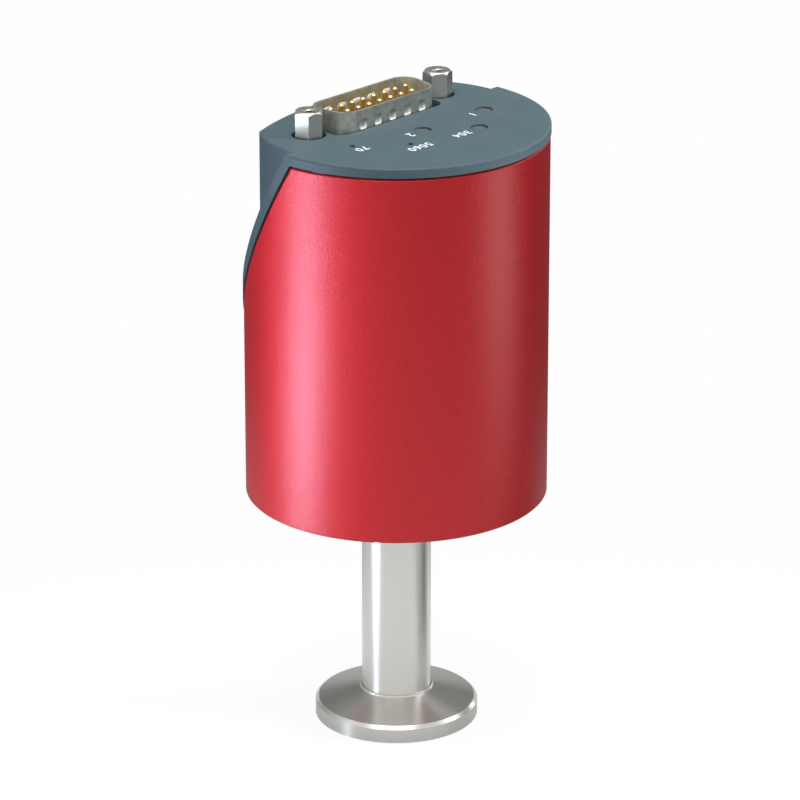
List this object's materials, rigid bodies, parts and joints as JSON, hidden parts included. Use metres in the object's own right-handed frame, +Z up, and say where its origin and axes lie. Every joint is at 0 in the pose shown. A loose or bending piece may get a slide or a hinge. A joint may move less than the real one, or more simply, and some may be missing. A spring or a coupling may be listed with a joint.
{
  "type": "capacitance diaphragm gauge",
  "caption": "Vacuum gauge in a round red housing with a small clamp flange below, a blue-grey cap with a sloping recessed back, a D-shaped plug, lamps and recessed buttons on top.",
  "frame": {"origin": "centre of the flange sealing face, at the mouth of the centring recess", "axes": "+Z up along the port axis to the connector; +Y to the back, where the cap has its sloping recess; +X along the connector"},
  "size_m": [0.0553, 0.0553, 0.1194],
  "materials": {
    "alumina": "fired",
    "amber_film": "film",
    "black_plastic": "moulded",
    "blue_grey_plastic": "fine moulded grain",
    "board_laminate": "lacquered",
    "brass_plain": "plain",
    "clear_plastic": "clear",
    "getter_metal": "sintered",
    "gold_plate": "gold plated",
    "lamp_plastic": "moulded",
    "nickel_iron": "plain",
    "nickel_plate": "nickel plated",
    "red_aluminium": "bead blasted and red anodised",
    "seal_glass": "fused",
    "steel_plain": "plain",
    "tin_plate": "tinned",
    "turned_steel": "turned"
  },
  "bodies": {
    "gauge": {"base_plate": "steel_plain", "base_screws": "steel_plain", "board_screws": "steel_plain", "capacitors": "tin_plate", "cell_adapter": "nickel_iron", "cell_pins": "gold_plate", "ceramic_body": "alumina", "ceramic_cover": "alumina", "ceramic_diaphragm": "alumina", "connector_board": "board_laminate", "connector_board_screws": "steel_plain", "connector_insulator": "black_plastic", "connector_pins": "gold_plate", "connector_rear_shell": "nickel_plate", "connector_shell": "nickel_plate", "connector_spacers": "brass_plain", "controller_chip": "black_plastic", "converter_chip": "black_plastic", "getter": "getter_metal", "getter_cup": "nickel_iron", "housing_tube": "red_aluminium", "inlet_baffle": "steel_plain", "jackscrews": "nickel_plate", "kf_flange": "turned_steel", "lamp_one": "lamp_plastic", "lamp_status": "lamp_plastic", "lamp_two": "lamp_plastic", "light_guide_one": "clear_plastic", "light_guide_status": "clear_plastic", "light_guide_two": "clear_plastic", "link_header": "black_plastic", "link_pins": "gold_plate", "link_socket": "black_plastic", "lower_glass_seal": "seal_glass", "lower_ribbon_socket": "black_plastic", "lower_standoffs": "brass_plain", "main_board": "board_laminate", "port_tube": "turned_steel", "power_coil": "black_plastic", "sensor_board": "board_laminate", "sensor_chip": "black_plastic", "sensor_housing": "steel_plain", "sensor_ribbon": "amber_film", "setpoint_button_base": "black_plastic", "setpoint_button_cover": "steel_plain", "setpoint_button_dome": "steel_plain", "setpoint_button_legs": "tin_plate", "top_cap": "blue_grey_plastic", "upper_glass_seal": "seal_glass", "upper_ribbon_socket": "black_plastic", "upper_standoffs": "brass_plain", "zero_button_base": "black_plastic", "zero_button_cover": "steel_plain", "zero_button_dome": "steel_plain", "zero_button_legs": "tin_plate"},
    "zero_button": {"zero_button_plunger": "black_plastic"},
    "setpoint_button": {"setpoint_button_plunger": "black_plastic"}
  },
  "joints": [
    {"name": "zero_button_press", "type": "slide", "parent": "gauge", "child": "zero_button", "axis": [0, 0, -1], "range_m": [0, 0.00025], "stiffness_N_per_m": 6400},
    {"name": "setpoint_button_press", "type": "slide", "parent": "gauge", "child": "setpoint_button", "axis": [0, 0, -1], "range_m": [0, 0.00025], "stiffness_N_per_m": 6400}
  ]
}
